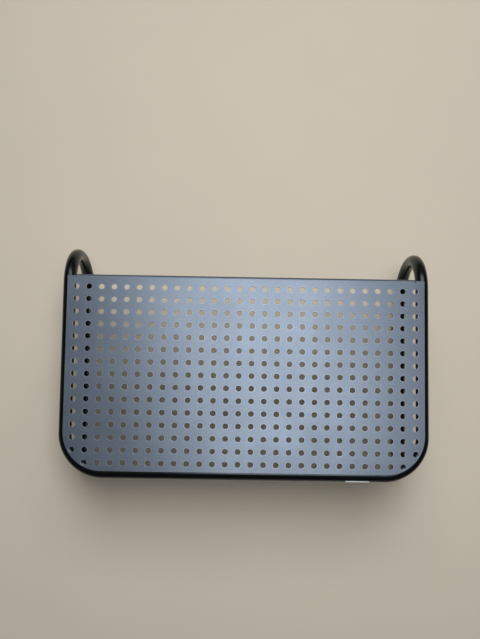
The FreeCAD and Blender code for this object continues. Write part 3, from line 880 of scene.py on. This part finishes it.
def cap_grid(side):
    """The spun cap, laid along the leg: its height becomes the way to the front."""
    spun_cap = spun(*cap_profile())
    return np.stack([side * RAIL_X + spun_cap[..., 0], LEG_END_Y - spun_cap[..., 2],
                     LEG_Z + spun_cap[..., 1]], -1)


for name, side in (("left", -1), ("right", 1)):
    cap = make_piece(name + "_end_cap", [cap_grid(side)], closed_columns=True)
    finish_piece(cap, PLASTIC, "cap_plastic", "end_cap_" + name)

# %% [markdown]
# ## Pieces with an outline: feet and nameplate
# A foot is a rubber saddle: seen from below it is a rounded oblong, and its top is
# hollowed to the tube's own radius. The nameplate is a rounded oblong too, bent round the
# front rail. One function makes both. It draws rings between the outline and the line
# down the middle of the oblong, and each ring gets a height of its own.


# %% Rings inside a rounded oblong
def oblong(half_x, half_y, corner, steps=8, along=10):
    """The outline of a rounded oblong, anticlockwise, and the middle line it closes on.

    Corners are quarter circles, with evenly spaced points along the straight sides. Each
    outline point is joined to the nearest point of a line down the oblong's middle.
    """
    quarter = np.radians(np.linspace(0, 90, steps + 1))
    between = np.linspace(0, 1, along + 1)[1:-1, None]
    arcs = []
    for turn, (side_x, side_y) in enumerate([(1, 1), (-1, 1), (-1, -1), (1, -1)]):
        a = quarter + turn * np.pi / 2
        x = side_x * (half_x - corner) + corner * np.cos(a)
        y = side_y * (half_y - corner) + corner * np.sin(a)
        arcs.append(np.stack([x, y], -1))
    stretches = []
    for arc, after in zip(arcs, arcs[1:] + arcs[:1]):
        stretches += [arc, arc[-1] * (1 - between) + after[0] * between]
    outline = np.concatenate(stretches)
    spine = max(half_x, half_y) - min(half_x, half_y)
    middle = np.zeros_like(outline)
    axis = 0 if half_x > half_y else 1
    middle[:, axis] = np.clip(outline[:, axis], -spine, spine)
    return outline, middle


def oblong_rings(outline, middle, inset, half_width):
    """Rings at several distances inside the outline: outline + inset / half (middle - outline)."""
    share = (np.array(inset) / half_width)[:, None, None]
    return outline * (1 - share) + middle * share


# %% Feet
foot_low, foot_high = (np.array(corner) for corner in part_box("foot_front_right"))
FOOT_HALF = (foot_high - foot_low) / 2
FOOT_SIDE = foot_high[2]
FOOT_EDGE = 0.8 * MM
FOOT_LEAN = 0.15 * MM
FOOT_RIM = 0.3 * MM
SADDLE_R = TUBE_R + 0.02 * MM
SADDLE_SHARPNESS = 9 / MM


def saddle_height(xy):
    """Height of the foot's top: the groove under the tube, or the flat side beside it.

    The groove is leg height - sqrt(R R - x x). The lower of the two is taken softly:
    minus 1 / k times the logarithm of exp(-k groove) + exp(-k side).
    """
    widest = SADDLE_R * 0.999
    across = np.minimum(np.abs(xy[..., 0]), widest)
    groove = LEG_Z - np.sqrt(SADDLE_R ** 2 - across ** 2)
    groove = np.where(np.abs(xy[..., 0]) < widest, groove, FOOT_SIDE * 2)
    both = np.exp(-SADDLE_SHARPNESS * groove) + np.exp(-SADDLE_SHARPNESS * FOOT_SIDE)
    return -np.log(both) / SADDLE_SHARPNESS


def foot_grid(centre):
    """A saddle foot as one closed grid, from the middle of its sole to the middle on top.

    The sole has one shallow groove round it, the lower edge is a quarter circle, the
    side leans in a little as it rises, and a quarter circle rounds the top rim.
    """
    half = FOOT_HALF[0]
    outline, middle = oblong(half, FOOT_HALF[1], half)
    q = np.radians(np.linspace(0, 90, 6))
    sole_inset = np.array([half / MM, 5.4, 4.3, 4.1, 3.9, 3.4, 3.2, 3.0, 1.8, 1.0]) * MM
    sole_z = np.array([0, 0, 0, 0.12, 0.45, 0.45, 0.12, 0, 0, 0]) * MM
    low_inset = np.concatenate([sole_inset, FOOT_EDGE * (1 - np.sin(q))])
    low_z = np.concatenate([sole_z, FOOT_EDGE * (1 - np.cos(q))])
    low = oblong_rings(outline, middle, low_inset, half)
    low = np.concatenate([low, np.broadcast_to(low_z[:, None, None], (*low.shape[:2], 1))], -1)

    rise = np.linspace(0.12, 1, 6)
    wall = oblong_rings(outline, middle, FOOT_LEAN * rise, half)
    rim_top = saddle_height(wall[-1]) - FOOT_RIM
    wall_z = FOOT_EDGE + rise[:, None] * (rim_top - FOOT_EDGE)[None]
    wall = np.concatenate([wall, wall_z[..., None]], -1)

    top_inset = np.array([0.19, 0.30, 0.45, 0.60, 0.78, 0.95, 1.3, 1.9, 2.6, 3.4, 4.3, 5.5,
                          half / MM]) * MM
    top = oblong_rings(outline, middle, top_inset, half)
    outward = np.clip(1 - (top_inset - FOOT_LEAN) / FOOT_RIM, 0, 1)
    sink = FOOT_RIM * (1 - np.sqrt(1 - outward ** 2))
    top_z = saddle_height(top) - sink[:, None]
    top = np.concatenate([top, top_z[..., None]], -1)
    return np.concatenate([low, wall, top]) + (*centre, 0.0)


def stud_grid(centre):
    """The barbed stud under the leg: a shank, a wider head inside the tube, and a cone.

    The outline of radius and height is in millimetres.
    """
    shank, head, point = 1.9, 2.5, 0.95
    shoulder = (LEG_Z - TUBE_R + TUBE_WALL) / MM + 0.18
    tip = shoulder + 2.4
    outline = [(0, 1.0), (shank, 1.0), (shank, shoulder), (head, shoulder),
               (head, shoulder + 0.4), (point, tip), (0, tip)]
    profile = rounded_profile(np.array(outline, float), 0.15) * MM
    return spun(profile[:, 0], profile[:, 1], 32) + (*centre, 0.0)


for end in ("front", "rear"):
    for side in ("left", "right"):
        cad_node = "foot_%s_%s" % (end, side)
        corners = np.array(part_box(cad_node))
        centre = corners.mean(0)[:2]
        foot = make_piece("%s_%s_foot" % (end, side), [foot_grid(centre), stud_grid(centre)],
                          closed_columns=True)
        finish_piece(foot, RUBBER, "foot_rubber", cad_node)

# %% [markdown]
# ## Nameplate and tape
# The nameplate is blank: a thin brushed plate with round corners, bent to the front rail
# and stuck on with foam tape that stands back a little from the plate's edge.


# %% Bend an oblong round the front rail
PLATE_CORNER = 1.1 * MM
PLATE_EDGE = 0.25 * MM
TAPE_MARGIN = 0.35 * MM
TAPE_EDGE = 0.05 * MM


def bent_plate(inner, thickness, margin, edge):
    """A plate between two radii round the front rail, as one closed grid.

    In the flat, x runs along the rail and w round it. Bending turns w into the angle
    w / outer radius, measured from the direction that faces the front.
    """
    outer = inner + thickness
    half_x = (plate_high[0] - plate_low[0]) / 2 - margin
    whole = TUBE_R + TAPE + PLATE
    half_w = math.asin((plate_high[2] - plate_low[2]) / 2 / whole) * outer - margin
    outline, middle = oblong(half_x, half_w, PLATE_CORNER)
    q = np.radians(np.linspace(0, 90, 4))
    fill = np.linspace(half_w, edge * 1.6, 7)
    inset = np.concatenate([fill, edge * (1 - np.sin(q)), edge * (1 - np.cos(q)), fill[::-1]])
    height = np.concatenate([0 * fill, edge * (1 - np.cos(q)), thickness - edge * (1 - np.sin(q)),
                             0 * fill + thickness])
    flat = oblong_rings(outline, middle, inset, half_w)
    angle = flat[..., 1] / outer
    radius = inner + height[:, None]
    x = (plate_low[0] + plate_high[0]) / 2 + flat[..., 0]
    return np.stack([x, FRONT_Y - radius * np.cos(angle), RAIL_Z + radius * np.sin(angle)], -1)


plate = make_piece("blank_nameplate", [bent_plate(TUBE_R + TAPE, PLATE, 0.0, PLATE_EDGE)],
                   closed_columns=True)
finish_piece(plate, ALUMINIUM, "plate_metal", "nameplate")
tape = make_piece("nameplate_backing", [bent_plate(TUBE_R, TAPE, TAPE_MARGIN, TAPE_EDGE)],
                  closed_columns=True)
finish_piece(tape, FOAM, "tape_foam", "nameplate_tape")

# %% [markdown]
# ## Floor, light and camera
# The floor is a plain pale, warm surface. The light is cool, as a bright sky is, and
# comes from two soft panels. The overhead one shows in the deck as a broad sheen, and it
# is turned so that the sheen fades towards the front left corner. The back one makes the
# highlights on the C bends and lays the shadow softly to the front. The world around
# gives a low, even fill.

# %% Floor
FLOOR_SIZE = 6.0
floor_mesh = bpy.data.meshes.new("floor")
half_floor = FLOOR_SIZE / 2
floor_points = half_floor * np.array([(-1, -1, 0), (1, -1, 0), (1, 1, 0), (-1, 1, 0)])
floor_mesh.from_pydata(floor_points.tolist(), [], [(0, 1, 2, 3)])
floor = bpy.data.objects.new("floor", floor_mesh)
bpy.context.scene.collection.objects.link(floor)
material, tree, shader, where = new_material("pale_floor")
tone = noise(tree, where, 5.0, detail=5.0, roughness=0.6)
floor_colour = mixed(tree, tone, (0.575, 0.500, 0.397, 1), (0.625, 0.542, 0.432, 1))
tree.links.new(floor_colour, shader.inputs["Base Color"])
shader.inputs["Roughness"].default_value = 0.9
floor_mesh.materials.append(material)


# %% Lights
def soft_panel(name, place, aim, size, power, colour, turn=0.0):
    """A softbox at place that faces aim, turned about its own middle by turn degrees."""
    light = bpy.data.lights.new(name, "AREA")
    light.shape = "RECTANGLE"
    light.size, light.size_y = size
    light.energy = power
    light.color = colour
    panel = bpy.data.objects.new(name, light)
    panel.location = place
    panel.rotation_euler = (Vector(aim) - Vector(place)).to_track_quat("-Z", "Y").to_euler()
    panel.rotation_euler.rotate_axis("Z", math.radians(turn))
    panel.visible_camera = False
    bpy.context.scene.collection.objects.link(panel)
    return panel


MIDDLE = (0.0, 0.0, DECK_TOP)
COOL = (0.94, 0.97, 1.0)
soft_panel("overhead_panel", (0.09, 0.23, 1.30), MIDDLE, (0.60, 0.95), 13.2, COOL, turn=38)
soft_panel("back_panel", (0.14, 1.16, 1.38), MIDDLE, (1.60, 0.58), 11.0, COOL)
world = bpy.data.worlds.new("soft_studio")
world.use_nodes = True
background = world.node_tree.nodes["Background"]
background.inputs["Color"].default_value = (0.90, 0.95, 1.0, 1)
background.inputs["Strength"].default_value = 0.055
bpy.context.scene.world = world
bpy.context.scene.view_settings.view_transform = "Standard"

# %% Camera
CAMERA_ABOVE_DECK = 587.4 * MM
CAMERA_X = -9.3 * MM
CAMERA_Y = -104.85 * MM
CAMERA_TURN = (3.4956, -0.5364, 0.8691)
SENSOR = 36.0
LENS = 33.24
SHIFT_UP = 0.1675
camera_data = bpy.data.cameras.new("camera")
camera_data.sensor_width = SENSOR
camera_data.lens = LENS
camera_data.shift_y = SHIFT_UP
camera_data.clip_start = 10 * MM
camera = bpy.data.objects.new("camera", camera_data)
camera.location = (CAMERA_X, CAMERA_Y, DECK_TOP + CAMERA_ABOVE_DECK)
camera.rotation_euler = [math.radians(angle) for angle in CAMERA_TURN]
bpy.context.scene.collection.objects.link(camera)
bpy.context.scene.camera = camera

# %% Bring the scene up to date
bpy.context.view_layer.update()
